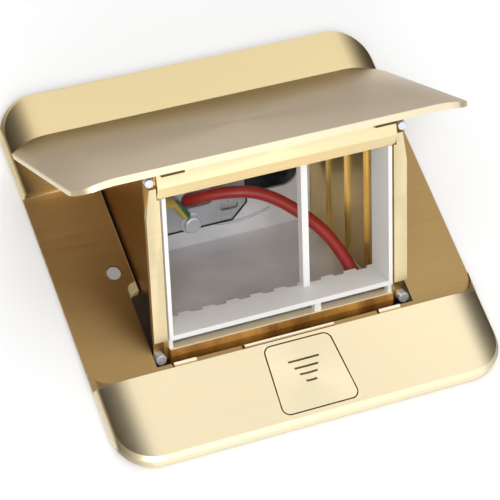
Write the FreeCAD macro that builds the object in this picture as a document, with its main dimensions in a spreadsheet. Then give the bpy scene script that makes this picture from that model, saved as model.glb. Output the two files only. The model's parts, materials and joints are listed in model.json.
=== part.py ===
import FreeCAD, Part
import math
import os
import Sketcher

# Pop-up floor socket box: a brass floor plate with a hinged lid that carries a tilting
# three-module cradle, over a galvanised flush box.
# Frame: +X right, +Y towards the hinge, +Z up; origin at the middle of the flush box's base.
# The lid stands open at rest. Pieces of the cradle are drawn in its own frame: X across,
# Y into the cradle from its face, Z up along the face.

Vector = FreeCAD.Vector
Placement = FreeCAD.Placement
Rotation = FreeCAD.Rotation

SIZES = {
    # floor plate
    "plate_side": 120, "plate_corner": 12, "crown_height": 4.8, "rim_height": 2.4, "crown_run": 12,
    "pan_thickness": 0.8, "skin": 1.4, "front_band": 25.3, "back_band": 31.2, "edge_ease": 1.2,
    "mouth_front": 31.9, "mouth_back": 43, "mouth_half": 37.4, "mouth_wide_half": 40.2,
    "mouth_step": 4.6, "horn_radius": 7, "plate_screw_x": 42.3, "plate_screw_hole": 2.3,
    # lid and hinge
    "lid_gap": 0.5, "lid_thickness": 2, "lid_edge": 1.2, "hinge_y": 36.6, "hinge_drop": 14.8,
    "open_angle": 48, "closed_tilt": 13, "shaft_radius": 2.5, "running_gap": 0.05, "swing_gap": 0.4,
    # cradle, in its own frame
    "hinge_rise": 24.7, "front_gap": 0.55, "head_gap": 0.17, "cheek_half": 36.4,
    "cheek_thickness": 1.4, "cheek_foot": 2, "flange_foot": 2.7, "hub_radius": 5.5, "trim_half": 39.6, "trim_width": 4.1,
    "trim_thickness": 1.6, "trim_foot": 4.2, "bar_half": 36.1, "top_bar": 8, "bar_thickness": 3,
    "top_bar_ridge": 3.6, "ridge_reach": 0.9, "bottom_bar": 5.1, "bottom_bar_drop": 4,
    "frame_foot_gap": 2.7, "module_width": 22.5, "module_height": 45,
    "bezel": 1.15, "bezel_depth": 11, "ledge": 1.5, "divider": 2, "divider_set_back": 8.2,
    "shaft_head": 1.5, "tray_gap": 0.4, "tray_sheet": 1, "tray_height": 30, "rib_depth": 0.9, "rib_width": 2.6,
    "rib_pitch": 13, "flange_thickness": 1, "lid_flange": 6.5, "screw_x": 38.1,
    "low_screw_z": 1, "low_screw_radius": 1.6, "high_screw_drop": 2.5, "high_screw_radius": 1.3,
    "low_screw_head": 2.8, "high_screw_head": 1.9, "screw_shank": 0.9, "rivet_radius": 1.9, "rivet_front": 12, "rivet_back": 8,
    # leads and earthing
    "wire_radius": 1.9, "earth_wire_radius": 1.5, "stand_off": 6.5, "earth_plate": 1.2,
    "earth_plate_low": 8, "earth_plate_high": 24, "earth_plate_left": 27, "earth_plate_right": 11,
    "terminal_x": 7.8, "terminal_z": 10.9, "terminal_radius": 3.2, "lead_hole": 3.4,
    "lug_x": 31.5, "lug_y": 4, "lug_barrel": 4,
    # flush box and frame under the plate
    "box_side": 100, "box_depth": 60, "box_wall": 1.2, "box_corner": 6, "entry_radius": 10.25,
    "entry_height": 26, "floor_hole": 2.25, "floor_hole_pitch": 70, "gasket": 0.8,
    "frame_thickness": 2.4, "frame_clearance": 0.3, "seat_gap": 0.3,
    # hinge brackets and damper
    "bracket_gap": 0.3, "bracket_sheet": 2, "bracket_width": 13, "outer_ear": 44, "outer_ear_sheet": 1.2, "gear_module": 0.8,
    "sector_teeth": 30, "pinion_teeth": 10, "mesh_angle": 250, "mesh_clearance": 0.15,
    "gear_width": 2.8, "damper_radius": 6, "damper_thickness": 3,
    # button and kick-up lever
    "button_back": 20, "button_front": 23.3, "button_rear": 36.1, "button_length": 20.9,
    "button_gap": 0.4, "button_skin": 1.6, "button_travel": 0.9, "stem_radius": 2.3,
    "lever_pin_y": 38, "lever_pin_radius": 1, "lever_arm": 7.8, "nose_half": 14,
    "nose_rise": 2, "lever_half": 6.9, "lever_pin_drop": 4.9, "lever_drop": 1, "lever_sheet": 1.6, "nose_set_back": 1.3, "slot_set_back": 0.4, "magnet_set_back": 0.8, "magnet_half": 3.4, "magnet_x": 32, "slot_gap": 0.4,
}

document = FreeCAD.newDocument("FloorSocketBox")
sheet = document.addObject("Spreadsheet::Sheet", "Sheet")
for row, (alias, number) in enumerate(SIZES.items(), start=1):
    sheet.set("A%d" % row, alias)
    sheet.set("B%d" % row, str(number))
    sheet.setAlias("B%d" % row, alias)
document.recompute()


class Size:
    """A number read from the sheet together with the expression that keeps it bound to it."""

    def __init__(self, value, text):
        self.value = value
        self.text = text

    def joined(self, other, sign, value, swap=False):
        pair = (size(other).text, self.text) if swap else (self.text, size(other).text)
        return Size(value, "(%s %s %s)" % (pair[0], sign, pair[1]))

    def __add__(self, other):
        return self.joined(other, "+", self.value + number(other))

    def __radd__(self, other):
        return self.joined(other, "+", number(other) + self.value, True)

    def __sub__(self, other):
        return self.joined(other, "-", self.value - number(other))

    def __rsub__(self, other):
        return self.joined(other, "-", number(other) - self.value, True)

    def __mul__(self, other):
        return self.joined(other, "*", self.value * number(other))

    def __rmul__(self, other):
        return self.joined(other, "*", number(other) * self.value, True)

    def __truediv__(self, other):
        return self.joined(other, "/", self.value / number(other))

    def __neg__(self):
        return Size(-self.value, "(-1 * %s)" % self.text)


def size(item):
    return item if isinstance(item, Size) else Size(float(item), "%.6f" % item)


def number(item):
    return size(item).value


def sine(angle):
    return Size(math.sin(math.radians(number(angle))), "sin(%s)" % size(angle).text)


def cosine(angle):
    return Size(math.cos(math.radians(number(angle))), "cos(%s)" % size(angle).text)


def root(item):
    return Size(math.sqrt(number(item)), "sqrt(%s)" % size(item).text)


def bind(target, path, item):
    target.setExpression(path, size(item).text)


S = {alias: Size(float(sheet.get(alias)), "Sheet.%s" % alias) for alias in SIZES}


# Outlines. A corner is (x, y), or (x, y, centre_x, centre_y, turn) when an arc leaves it;
# turn is +1 for anticlockwise and -1 for clockwise.


def rectangle(x0, x1, y0, y1):
    return [(x0, y0), (x1, y0), (x1, y1), (x0, y1)]


def rounded(x0, x1, y0, y1, radius):
    return [(x0 + radius, y0), (x1 - radius, y0, x1 - radius, y0 + radius, 1),
            (x1, y0 + radius), (x1, y1 - radius, x1 - radius, y1 - radius, 1),
            (x1 - radius, y1), (x0 + radius, y1, x0 + radius, y1 - radius, 1),
            (x0, y1 - radius), (x0, y0 + radius, x0 + radius, y0 + radius, 1)]


def circle(x, y, radius):
    return (x, y, radius)


def centred_square(side, radius):
    return rounded(-side / 2, side / 2, -side / 2, side / 2, radius)


def draw(sketch, outline):
    """Draws one closed outline and ties every corner to the sheet."""
    if isinstance(outline, tuple):
        x, y, radius = outline
        ring = sketch.addGeometry(Part.Circle(Vector(number(x), number(y), 0), Vector(0, 0, 1),
                                              number(radius)), False)
        tie(sketch, ring, 3, x, y)
        row = sketch.addConstraint(Sketcher.Constraint("Radius", ring, number(radius)))
        bind(sketch, "Constraints[%d]" % row, radius)
        return
    edges = []
    count = len(outline)
    for index, corner in enumerate(outline):
        here = Vector(number(corner[0]), number(corner[1]), 0)
        after = outline[(index + 1) % count]
        there = Vector(number(after[0]), number(after[1]), 0)
        if len(corner) == 2:
            edges.append((sketch.addGeometry(Part.LineSegment(here, there), False), 1, 2))
            continue
        middle = Vector(number(corner[2]), number(corner[3]), 0)
        first, last = (here, there) if corner[4] > 0 else (there, here)
        start, stop = (math.atan2(end.y - middle.y, end.x - middle.x) for end in (first, last))
        ring = Part.Circle(middle, Vector(0, 0, 1), (here - middle).Length)
        arc = sketch.addGeometry(Part.ArcOfCircle(ring, start, stop), False)
        edges.append((arc, 1, 2) if corner[4] > 0 else (arc, 2, 1))
    for index in range(count):
        before, edge = edges[index - 1], edges[index]
        sketch.addConstraint(Sketcher.Constraint("Coincident", before[0], before[2], edge[0], edge[1]))
    for index, corner in enumerate(outline):
        edge = edges[index]
        previous = outline[index - 1]
        if len(previous) == 2:
            tie(sketch, edge[0], edge[1], corner[0], corner[1])
        else:
            flat = abs(number(corner[1]) - number(previous[3])) > abs(number(corner[0]) - number(previous[2]))
            tie(sketch, edge[0], edge[1], corner[0] if flat else None, None if flat else corner[1])
        if len(corner) > 2:
            tie(sketch, edge[0], 3, corner[2], corner[3])


def tie(sketch, edge, point, x, y):
    for kind, item in (("DistanceX", x), ("DistanceY", y)):
        if item is not None:
            row = sketch.addConstraint(Sketcher.Constraint(kind, -1, 1, edge, point, number(item)))
            bind(sketch, "Constraints[%d]" % row, item)


NORMAL_SIGN = {"XY": 1, "XZ": -1, "YZ": 1}


class Piece:
    """A PartDesign body built from slabs between two levels across one of its origin planes."""

    def __init__(self, label, place=None):
        self.body = document.addObject("PartDesign::Body", label)
        self.body.Label = label
        self.place = place
        PIECES.append(self)

    def sketch(self, plane, low, high, outlines):
        sketch = self.body.newObject("Sketcher::SketchObject", self.body.Label + "_outline")
        support = [item for item in self.body.Origin.OriginFeatures if item.Role == plane + "_Plane"][0]
        sketch.AttachmentSupport = [(support, "")]
        sketch.MapMode = "FlatFace"
        middle = (size(low) + high) / 2 * NORMAL_SIGN[plane]
        sketch.AttachmentOffset = Placement(Vector(0, 0, middle.value), Rotation())
        bind(sketch, "AttachmentOffset.Base.z", middle)
        for outline in outlines:
            draw(sketch, outline)
        return sketch

    def slab(self, kind, plane, low, high, outlines):
        sketch = self.sketch(plane, low, high, outlines)
        feature = self.body.newObject("PartDesign::" + kind, self.body.Label + "_" + kind.lower())
        feature.Profile = sketch
        feature.Midplane = True
        bind(feature, "Length", size(high) - low)
        return feature

    def add(self, plane, low, high, *outlines):
        return self.slab("Pad", plane, low, high, outlines)

    def cut(self, plane, low, high, *outlines):
        return self.slab("Pocket", plane, low, high, outlines)

    def ease(self, kind, amount, pick):
        """Fillet or Chamfer on the edges that pick accepts."""
        document.recompute()
        base = self.body.Tip
        names = ["Edge%d" % (index + 1) for index, edge in enumerate(base.Shape.Edges) if pick(edge)]
        feature = self.body.newObject("PartDesign::" + kind, self.body.Label + "_" + kind.lower())
        feature.Base = (base, names)
        bind(feature, "Radius" if kind == "Fillet" else "Size", amount)
        return feature


PIECES = []


class Assembled:
    """A sub-part whose solid, or group of separate solids, is made of bound primitives."""

    def __init__(self, label, kind, members, place=None):
        self.body = document.addObject("Part::" + kind, label)
        self.body.Label = label
        setattr(self.body, "Links" if kind == "Compound" else "Shapes", members)
        self.place = place
        PIECES.append(self)


class Formed:
    """A sub-part whose solid is made with Part's own functions."""

    def __init__(self, label, shape, place=None):
        self.body = document.addObject("Part::Feature", label)
        self.body.Label = label
        self.body.Shape = shape
        self.place = place
        PIECES.append(self)


AXES = {"X": Rotation(Vector(0, 1, 0), 90), "Y": Rotation(Vector(1, 0, 0), -90), "Z": Rotation()}


def rod(axis, radius, low, high, first, second, tip=None):
    """A cylinder, or a cone when tip is given, between two levels along an axis."""
    item = document.addObject("Part::Cylinder" if tip is None else "Part::Cone", "rod")
    if tip is None:
        bind(item, "Radius", radius)
    else:
        bind(item, "Radius1", radius)
        bind(item, "Radius2", tip)
    bind(item, "Height", size(high) - low)
    base = {"X": (low, first, second), "Y": (first, low, second), "Z": (first, second, low)}[axis]
    item.Placement = Placement(Vector(*[number(entry) for entry in base]), AXES[axis])
    for letter, entry in zip("xyz", base):
        bind(item, "Placement.Base." + letter, entry)
    return item


def together(*members):
    item = document.addObject("Part::MultiFuse", "together")
    item.Shapes = list(members)
    return item


def less(base, tool):
    item = document.addObject("Part::Cut", "less")
    item.Base = base
    item.Tool = tool
    return item


# Places.

floor_level = S["box_depth"]
crown = floor_level + S["crown_height"]
pan_top = floor_level + S["pan_thickness"]
half = S["plate_side"] / 2
hinge_z = floor_level - S["hinge_drop"]
recess_front = -(half - S["front_band"])
recess_back = half - S["back_band"]
lid_under = crown - S["lid_thickness"]
X_AXIS = Vector(1, 0, 0)
hinge_point = Vector(0, S["hinge_y"].value, hinge_z.value)
open_turn = Rotation(X_AXIS, -S["open_angle"].value)
LID_PLACE = Placement(hinge_point, open_turn) * Placement(-hinge_point, Rotation())

# The cradle reaches as far forward as the mouth lets its top bar swing past when it closes,
# and as high as the lid's underside, which in the cradle's frame is a line that falls with depth.
tilt_cos, tilt_sin = cosine(S["closed_tilt"]), sine(S["closed_tilt"])
head_rise = (lid_under - hinge_z) / tilt_cos
ridge_rise = head_rise - S["head_gap"] - S["top_bar"] + S["top_bar_ridge"]
hinge_depth = ((S["hinge_y"] + S["mouth_front"] - S["front_gap"] - ridge_rise * tilt_sin) * tilt_cos
               - S["ridge_reach"] * tilt_cos * tilt_cos)
roof_fall = tilt_sin / tilt_cos
roof_at_face = S["hinge_rise"] + hinge_depth * roof_fall + head_rise
face_height = roof_at_face - S["head_gap"]
tray_depth = hinge_depth - S["shaft_radius"] - S["shaft_head"] - S["tray_gap"]
face_turn = Rotation(X_AXIS, (S["closed_tilt"] - S["open_angle"]).value)
cradle_hinge = Vector(0, hinge_depth.value, S["hinge_rise"].value)
CRADLE_PLACE = Placement(hinge_point, face_turn) * Placement(-cradle_hinge, Rotation())


def roof(depth):
    return roof_at_face - roof_fall * depth


def crowned(width, top, rim, run, base):
    """Cross-section across X: flat in the middle, curving down to the rim over the last run."""
    drop = size(top) - rim
    radius = (size(run) * run + drop * drop) / (2 * drop)
    side = size(width) / 2
    shoulder = side - run
    return [(-side, base), (side, base), (side, rim, shoulder, size(top) - radius, 1),
            (shoulder, top), (-shoulder, top, -shoulder, size(top) - radius, 1), (-side, rim)]



swing_radius = root((S["hinge_y"] - recess_back) * (S["hinge_y"] - recess_back)
                    + (crown - hinge_z) * (crown - hinge_z))
trim_back = S["trim_thickness"]
cheek_inner = S["cheek_half"] - S["cheek_thickness"]
frame_top = floor_level
frame_under = floor_level - S["frame_thickness"]
nose_front = recess_front + S["nose_set_back"]
nose_back = -S["mouth_front"] - 0.5
slot_front = recess_front + S["slot_set_back"]
magnet_front = recess_front + S["magnet_set_back"]
ear_inner = S["cheek_half"] + S["bracket_gap"]
screw_rows = ((-S["low_screw_z"], S["low_screw_radius"], S["low_screw_head"]),
              (face_height - S["high_screw_drop"], S["high_screw_radius"], S["high_screw_head"]))


def polar(radius, angle):
    """A point of the cradle's own frame at this distance and angle from the hinge."""
    return hinge_depth + radius * cosine(angle), S["hinge_rise"] + radius * sine(angle)


stem_y = S["lever_pin_y"] + S["lever_arm"]
lever_half = S["lever_half"]
lever_pin_z = floor_level - S["lever_pin_drop"]
lever_top = frame_under - S["lever_drop"]

# Fixed pieces.


def floor_plate():
    piece = Piece("floor_plate")
    rim = floor_level + S["rim_height"]
    piece.add("XZ", -half, half, crowned(S["plate_side"], crown, rim, S["crown_run"], floor_level))
    beyond = S["plate_side"]
    piece.cut("XY", floor_level - 1, crown + 1, rectangle(-beyond, beyond, -beyond, beyond),
              centred_square(S["plate_side"], S["plate_corner"]))
    horn = S["horn_radius"]
    ends = half + 1
    piece.cut("XY", pan_top, crown + 1, [
        (-ends, recess_front + horn), (-half, recess_front + horn, -half + horn, recess_front + horn, 1),
        (-half + horn, recess_front), (half - horn, recess_front, half - horn, recess_front + horn, 1),
        (half, recess_front + horn), (ends, recess_front + horn), (ends, recess_back),
        (-ends, recess_back)])
    flat = half - S["crown_run"]
    thin = S["skin"]
    piece.cut("XY", floor_level - 1, crown - thin,
              rounded(-flat, flat, -half + 1.6 * thin, recess_front - 0.85 * thin, 2 * thin),
              rounded(-flat, flat, recess_back + thin, half - 1.6 * thin, 2 * thin))
    narrow, wide = S["mouth_half"], S["mouth_wide_half"]
    step, bend = -S["mouth_step"], wide - narrow
    front = -S["mouth_front"]
    piece.cut("XY", floor_level - 1, pan_top + 1, [
        (-wide, front), (wide, front), (wide, step - bend, narrow, step - bend, 1), (narrow, step),
        (narrow, recess_back + thin), (-narrow, recess_back + thin),
        (-narrow, step, -narrow, step - bend, 1), (-wide, step - bend)])
    gap = S["slot_gap"]
    notches = [rectangle(-S["nose_half"] - gap, S["nose_half"] + gap, slot_front, front + 1)]
    for side in (-1, 1):
        middle = S["magnet_x"] * side
        reach = S["magnet_half"] + gap
        notches.append(rectangle(middle - reach, middle + reach, slot_front, front + 1))
    piece.cut("XY", floor_level - 1, pan_top + 1, *notches)
    piece.cut("XY", floor_level - 1, pan_top + 1,
              *[circle(S["plate_screw_x"] * side, -0.7, S["plate_screw_hole"]) for side in (-1, 1)])
    piece.cut("XY", floor_level, crown + 1, button_outline(S["button_gap"]))
    top = crown.value

    def outer_edge(edge):
        box = edge.BoundBox
        long = box.XLength > 60
        return long and box.ZLength < 0.01 and abs(box.ZMax - top) < 0.01 and abs(box.YMin) > half.value - 1

    piece.ease("Chamfer", S["edge_ease"], outer_edge)
    return piece


def button_outline(margin):
    """The button's outline: straight ends, the front one wider; margin widens it all round."""
    rear = -S["button_rear"] + margin
    front = -S["button_rear"] - S["button_length"] - margin
    narrow, wide = S["button_back"] / 2 + margin, S["button_front"] / 2 + margin
    return [(-narrow, rear), (-wide, front), (wide, front), (narrow, rear)]


def seal_gasket():
    piece = Piece("seal_gasket")
    outer = S["plate_side"] - 5
    inner = S["box_side"] + 3
    piece.add("XY", floor_level - S["gasket"], floor_level,
              centred_square(outer, S["plate_corner"] - 2.5), centred_square(inner, S["box_corner"]))


def mounting_frame():
    """Plastic frame under the plate: it holds the hinge brackets, magnets and lever."""
    piece = Piece("mounting_frame")
    outer = S["box_side"] - 2 * (S["box_wall"] + S["frame_clearance"])
    narrow, wide = S["mouth_half"] - 0.5, S["mouth_wide_half"] + 0.1
    front, back = -S["mouth_front"] - 0.2, S["mouth_back"]
    step, bend = -S["mouth_step"] - 3, wide - narrow
    piece.add("XY", frame_under, frame_top, centred_square(outer, S["box_corner"] - 1.5))
    piece.cut("XY", frame_under - 1, frame_top + 1, [
        (-wide, front), (wide, front), (wide, step - bend, narrow, step - bend, 1), (narrow, step),
        (narrow, back), (-narrow, back), (-narrow, step, -narrow, step - bend, 1), (-wide, step - bend)])
    reach = S["nose_half"] + S["slot_gap"]
    piece.cut("XY", frame_under - 1, frame_top + 1,
              rectangle(-reach, reach, slot_front, front + 1))
    pockets = []
    for side in (-1, 1):
        middle = S["magnet_x"] * side
        pockets.append(rectangle(middle - S["magnet_half"], middle + S["magnet_half"], magnet_front, front + 1))
    piece.cut("XY", frame_under - 1, frame_top + 1, *pockets)
    piece.cut("XY", frame_under - 1, frame_top + 1, circle(0, -stem_y, S["stem_radius"] + S["running_gap"]))
    piece.cut("XY", frame_under - 1, frame_top + 1,
              *[circle(S["plate_screw_x"] * side, -0.7, 1.7) for side in (-1, 1)])
    lug = 2
    inside = lever_half + S["seat_gap"]
    for side in (-1, 1):
        low, high = (inside, inside + lug) if side > 0 else (-inside - lug, -inside)
        piece.add("YZ", low, high, rectangle(-S["lever_pin_y"] - 2.4, -S["lever_pin_y"] + 2.4,
                                             lever_pin_z - 2.2, frame_under + 0.2))
    piece.cut("YZ", -inside - lug - 1, inside + lug + 1,
              circle(-S["lever_pin_y"], lever_pin_z, S["lever_pin_radius"]))


def back_box():
    piece = Piece("back_box")
    top = floor_level - S["gasket"]
    side, wall = S["box_side"], S["box_wall"]
    piece.add("XY", 0, top, centred_square(side, S["box_corner"]))
    piece.cut("XY", wall, top + 1, centred_square(side - 2 * wall, S["box_corner"] - wall))
    inner = side / 2 - wall
    lug_top = frame_under
    for sign in (-1, 1):
        near, far = S["mouth_wide_half"] - 0.1, inner + wall / 2
        low, high = (near, far) if sign > 0 else (-far, -near)
        piece.add("XY", lug_top - 7, lug_top, rectangle(low, high, -6, 4.6))
    piece.cut("XY", lug_top - 6, lug_top + 1,
              *[circle(S["plate_screw_x"] * sign, -0.7, 1.6) for sign in (-1, 1)])
    pitch = S["floor_hole_pitch"] / 2
    piece.cut("XY", -1, wall + 1, *[circle(pitch * right, pitch * back, S["floor_hole"])
                                    for right in (-1, 1) for back in (-1, 1)])
    piece.cut("YZ", -side, side, circle(0, S["entry_height"], S["entry_radius"]))
    piece.cut("XZ", side / 2 - wall - 1, side, circle(0, S["entry_height"], S["entry_radius"]))



def plate_screws():
    """Two screws that hold the mounting frame to the box, reached through the plate."""
    screws = []
    for sign in (-1, 1):
        place = S["plate_screw_x"] * sign
        shank = rod("Z", 1.6, frame_under - 5, frame_top, place, -0.7)
        head = rod("Z", 2, frame_top, frame_top + 0.8, place, -0.7)
        screws.append(together(shank, head))
    Assembled("plate_screws", "Compound", screws)


def hinge_bracket(side):
    """A bent strap under the frame with an ear each side of the shaft's outer end."""
    sign = -1 if side == "left" else 1
    piece = Piece("hinge_bracket_" + side)
    y, z = S["hinge_y"], hinge_z
    wide = S["bracket_width"] / 2
    sheet_size = S["bracket_sheet"]
    outer = S["outer_ear"] + S["outer_ear_sheet"]

    def between(low, high):
        return (low, high) if sign > 0 else (-high, -low)

    web_top, web_under = frame_under, frame_under - sheet_size
    low, high = between(ear_inner, outer)
    piece.add("XY", web_under, web_top, rectangle(low, high, y - wide, y + wide - 0.6))
    bend = wide - 1
    ear = [(y - wide, web_top), (y - bend, z, y, z, 1), (y + bend, z), (y + wide - 0.6, web_top)]
    piece.add("YZ", *between(ear_inner, ear_inner + sheet_size), ear)
    shaft_hole = S["shaft_radius"] + S["running_gap"]
    piece.cut("YZ", *between(ear_inner - 1, ear_inner + sheet_size + 1), circle(y, z, shaft_hole))
    if side == "right":
        reach = 5.4
        outer_ear = [(y - wide, web_top), (pinion_y - reach, pinion_z + 4),
                     (pinion_y - reach, pinion_z, pinion_y, pinion_z, 1), (pinion_y + reach, pinion_z),
                     (y + wide - 0.6, z), (y + wide - 0.6, web_top)]
    else:
        outer_ear = ear
    piece.add("YZ", *between(S["outer_ear"], outer), outer_ear)
    holes = [circle(y, z, shaft_hole)]
    if side == "right":
        holes.append(circle(pinion_y, pinion_z, 1.3))
    piece.cut("YZ", *between(S["outer_ear"] - 0.5, outer + 0.5), *holes)


def damper_housing():
    """Oil-damped rotor case on the outer ear; its blind bore takes the pinion's spindle."""
    low = S["outer_ear"] + S["outer_ear_sheet"]
    case = rod("X", S["damper_radius"], low, low + S["damper_thickness"], pinion_y, pinion_z)
    bore = rod("X", 1 + S["running_gap"], low, low + 2, pinion_y, pinion_z)
    Assembled("damper_housing", "Compound", [less(case, bore)])


def coil(radius, wire, turns, pitch):
    """A helical spring on its own axis: rings of a six-sided section joined by flat facets."""
    steps, sides = int(round(turns * 14)), 6
    rings = []
    for step in range(steps + 1):
        angle = 2 * math.pi * turns * step / steps
        out = Vector(math.cos(angle), math.sin(angle), 0)
        middle = out * radius + Vector(0, 0, pitch * turns * step / steps)
        rings.append([middle + out * (wire * math.cos(2 * math.pi * side / sides))
                      + Vector(0, 0, wire * math.sin(2 * math.pi * side / sides)) for side in range(sides)])
    faces = [Part.Face(Part.makePolygon(ring + ring[:1])) for ring in (rings[0], rings[-1])]
    for here, there in zip(rings, rings[1:]):
        for side in range(sides):
            other = (side + 1) % sides
            for triangle in ((here[side], here[other], there[other]), (here[side], there[other], there[side])):
                faces.append(Part.Face(Part.makePolygon(list(triangle) + [triangle[0]])))
    solid = Part.Solid(Part.Shell(faces))
    if solid.Volume < 0:
        solid.reverse()
    return solid


def lid_spring():
    """Torsion spring on the left shaft, between the bracket's ears, which lifts the lid."""
    wire, radius, turns = 0.45, 4.2, 2.5
    solid = coil(radius, wire, turns, 0.95)
    place = Placement(Vector(-S["outer_ear"].value + 0.75, hinge_point.y, hinge_point.z), AXES["X"])
    Formed("lid_spring", solid, place)


def catch_magnets():
    """Two magnets in the frame's front edge that hold the closed lid."""
    piece_members = []
    for sign in (-1, 1):
        middle = S["magnet_x"] * sign
        block = document.addObject("Part::Box", "magnet")
        bind(block, "Length", 2 * S["magnet_half"])
        bind(block, "Width", -S["mouth_front"] - 0.2 - magnet_front)
        bind(block, "Height", S["frame_thickness"] + 1.7)
        for letter, entry in zip("xyz", (middle - S["magnet_half"], magnet_front, frame_under)):
            bind(block, "Placement.Base." + letter, entry)
        piece_members.append(block)
    Assembled("catch_magnets", "Compound", piece_members)


def lever_pin():
    inside = lever_half + S["seat_gap"] + 2
    Assembled("lever_pin", "Compound",
              [rod("X", S["lever_pin_radius"], -inside, inside, -S["lever_pin_y"], lever_pin_z)])


def earth_stud():
    """Earth terminal on the floor of the box: hexagon base, threaded stud and clamping washer."""
    x, y = -34, -34
    base = rod("Z", 3.2, S["box_wall"], S["box_wall"] + 3, x, y)
    stud = rod("Z", 1.9, S["box_wall"], S["box_wall"] + 8, x, y)
    washer = rod("Z", 4, S["box_wall"] + 4, S["box_wall"] + 5, x, y)
    Assembled("earth_stud", "Compound", [together(base, stud, washer)])


# Button and kick-up lever.


def button():
    piece = Piece("button")
    under = crown - S["button_skin"]
    piece.add("XY", under, crown, button_outline(0))
    piece.ease("Fillet", 2.1, lambda edge: edge.BoundBox.ZLength > 1)
    piece.add("XY", frame_under - 0.3, under + 0.4, circle(0, -stem_y, S["stem_radius"]))
    piece.add("XY", lever_top + 0.15, frame_under, circle(0, -stem_y, 0.8))
    return piece


def button_spring():
    height = crown.value - S["button_skin"].value - frame_top.value
    wire = 0.3
    turns = 3
    solid = coil(S["stem_radius"].value + 1, wire, turns, (height - 2.6 * wire) / turns)
    Formed("button_spring", solid, Placement(Vector(0, -stem_y.value, frame_top.value + 1.3 * wire), Rotation()))


def kick_lever():
    """Rocker under the plate: the button lowers its front and the nose lifts the lid's edge."""
    piece = Piece("kick_lever")
    pin_y, pin_z = -S["lever_pin_y"], lever_pin_z
    under, top = lever_top - S["lever_sheet"], lever_top
    piece.add("XY", under, top, [(-lever_half, -stem_y - 2.3), (lever_half, -stem_y - 2.3),
                                 (lever_half, pin_y + 3), (S["nose_half"], nose_front - 0.6),
                                 (S["nose_half"], nose_back), (-S["nose_half"], nose_back),
                                 (-S["nose_half"], nose_front - 0.6), (-lever_half, pin_y + 3)])
    piece.add("YZ", -lever_half, lever_half, circle(pin_y, pin_z, 2))
    piece.add("XY", under, floor_level + S["nose_rise"],
              rectangle(-S["nose_half"], S["nose_half"], nose_front, nose_back))
    piece.cut("YZ", -lever_half - 1, lever_half + 1,
              circle(pin_y, pin_z, S["lever_pin_radius"] + S["running_gap"]))


# Damper gearing, in mesh.

pitch_sector = S["gear_module"] * S["sector_teeth"] / 2
pitch_pinion = S["gear_module"] * S["pinion_teeth"] / 2
mesh_distance = pitch_sector + pitch_pinion + S["mesh_clearance"]
pinion_y = S["hinge_y"] + mesh_distance * cosine(S["mesh_angle"])
pinion_z = hinge_z + mesh_distance * sine(S["mesh_angle"])


def tooth_points(pitch_radius, teeth, first, last, offset):
    """Corners of straight-flanked teeth from first to last, in degrees about the gear's centre."""
    module = S["gear_module"].value
    step = 360.0 / teeth
    rows = [(-0.30, -1.2), (-0.12, 1.0), (0.12, 1.0), (0.30, -1.2)]
    points = []
    for index in range(first, last + 1):
        for share, height in rows:
            angle = math.radians(offset + (index + share) * step)
            radius = pitch_radius + height * module
            points.append(Vector(0, radius * math.cos(angle), radius * math.sin(angle)))
    return points


def prism(points, low, high):
    face = Part.Face(Part.makePolygon(points + points[:1]))
    face.translate(Vector(low, 0, 0))
    return face.extrude(Vector(high - low, 0, 0))


def tube(axis_radius, low, high):
    return Part.makeCylinder(axis_radius, high - low, Vector(low, 0, 0), X_AXIS)


def gear_span():
    middle = (S["outer_ear"].value + ear_inner.value + S["bracket_sheet"].value) / 2
    return middle - S["gear_width"].value / 2, middle + S["gear_width"].value / 2


def damper_pinion():
    low, high = gear_span()
    teeth = int(S["pinion_teeth"].value)
    facing = S["mesh_angle"].value + 180
    wheel = prism(tooth_points(pitch_pinion.value, teeth, 0, teeth - 1, facing + 180.0 / teeth), low, high)
    spindle = tube(1.0, low, S["outer_ear"].value + S["outer_ear_sheet"].value + 1.7)
    Formed("damper_pinion", wheel.fuse(spindle).removeSplitter(),
           Placement(Vector(0, pinion_y.value, pinion_z.value), Rotation()))


def damper_gear():
    """Toothed sector keyed on the right shaft; drawn about the hinge as it stands at rest."""
    low, high = gear_span()
    teeth = int(S["sector_teeth"].value)
    step = 360.0 / teeth
    mesh = S["mesh_angle"].value
    before = int((S["open_angle"].value + 8) / step) + 1
    rim = tooth_points(pitch_sector.value, teeth, -before, 1, mesh)
    sector = prism([Vector(0, 0, 0)] + rim, low, high)
    blank = sector.fuse(tube(S["hub_radius"].value - 0.5, low, high))
    bore = tube(S["shaft_radius"].value, low - 1, high + 1)
    Formed("damper_gear", blank.cut(bore).removeSplitter(), Placement(hinge_point, Rotation()))


# Lid and hinge shafts.


def lid():
    piece = Piece("lid", LID_PLACE)
    rim = floor_level + S["rim_height"]
    under_rim = rim - S["lid_edge"]
    front = recess_front + S["lid_gap"]
    side = half
    run = S["crown_run"]
    shoulder = side - run

    def bow(drop):
        return (run * run + drop * drop) / (2 * drop)

    lower, upper = bow(lid_under - under_rim), bow(crown - rim)
    piece.add("XZ", front, S["hinge_y"], [
        (-side, under_rim, -shoulder, lid_under - lower, -1), (-shoulder, lid_under),
        (shoulder, lid_under, shoulder, lid_under - lower, -1), (side, under_rim),
        (side, rim, shoulder, crown - upper, 1), (shoulder, crown),
        (-shoulder, crown, -shoulder, crown - upper, 1), (-side, rim)])
    piece.cut("YZ", -side - 1, side + 1, circle(S["hinge_y"], hinge_z, swing_radius + S["swing_gap"]))
    horn = S["horn_radius"]
    for sign, turn in ((-1, 1), (1, -1)):
        edge, inset = side * sign, (side - horn) * sign
        out = edge + sign
        piece.cut("XY", floor_level - 1, crown + 1, [
            (edge, front + horn, inset, front + horn, turn), (inset, front), (inset, front - 1),
            (out, front - 1), (out, front + horn)])


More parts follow.
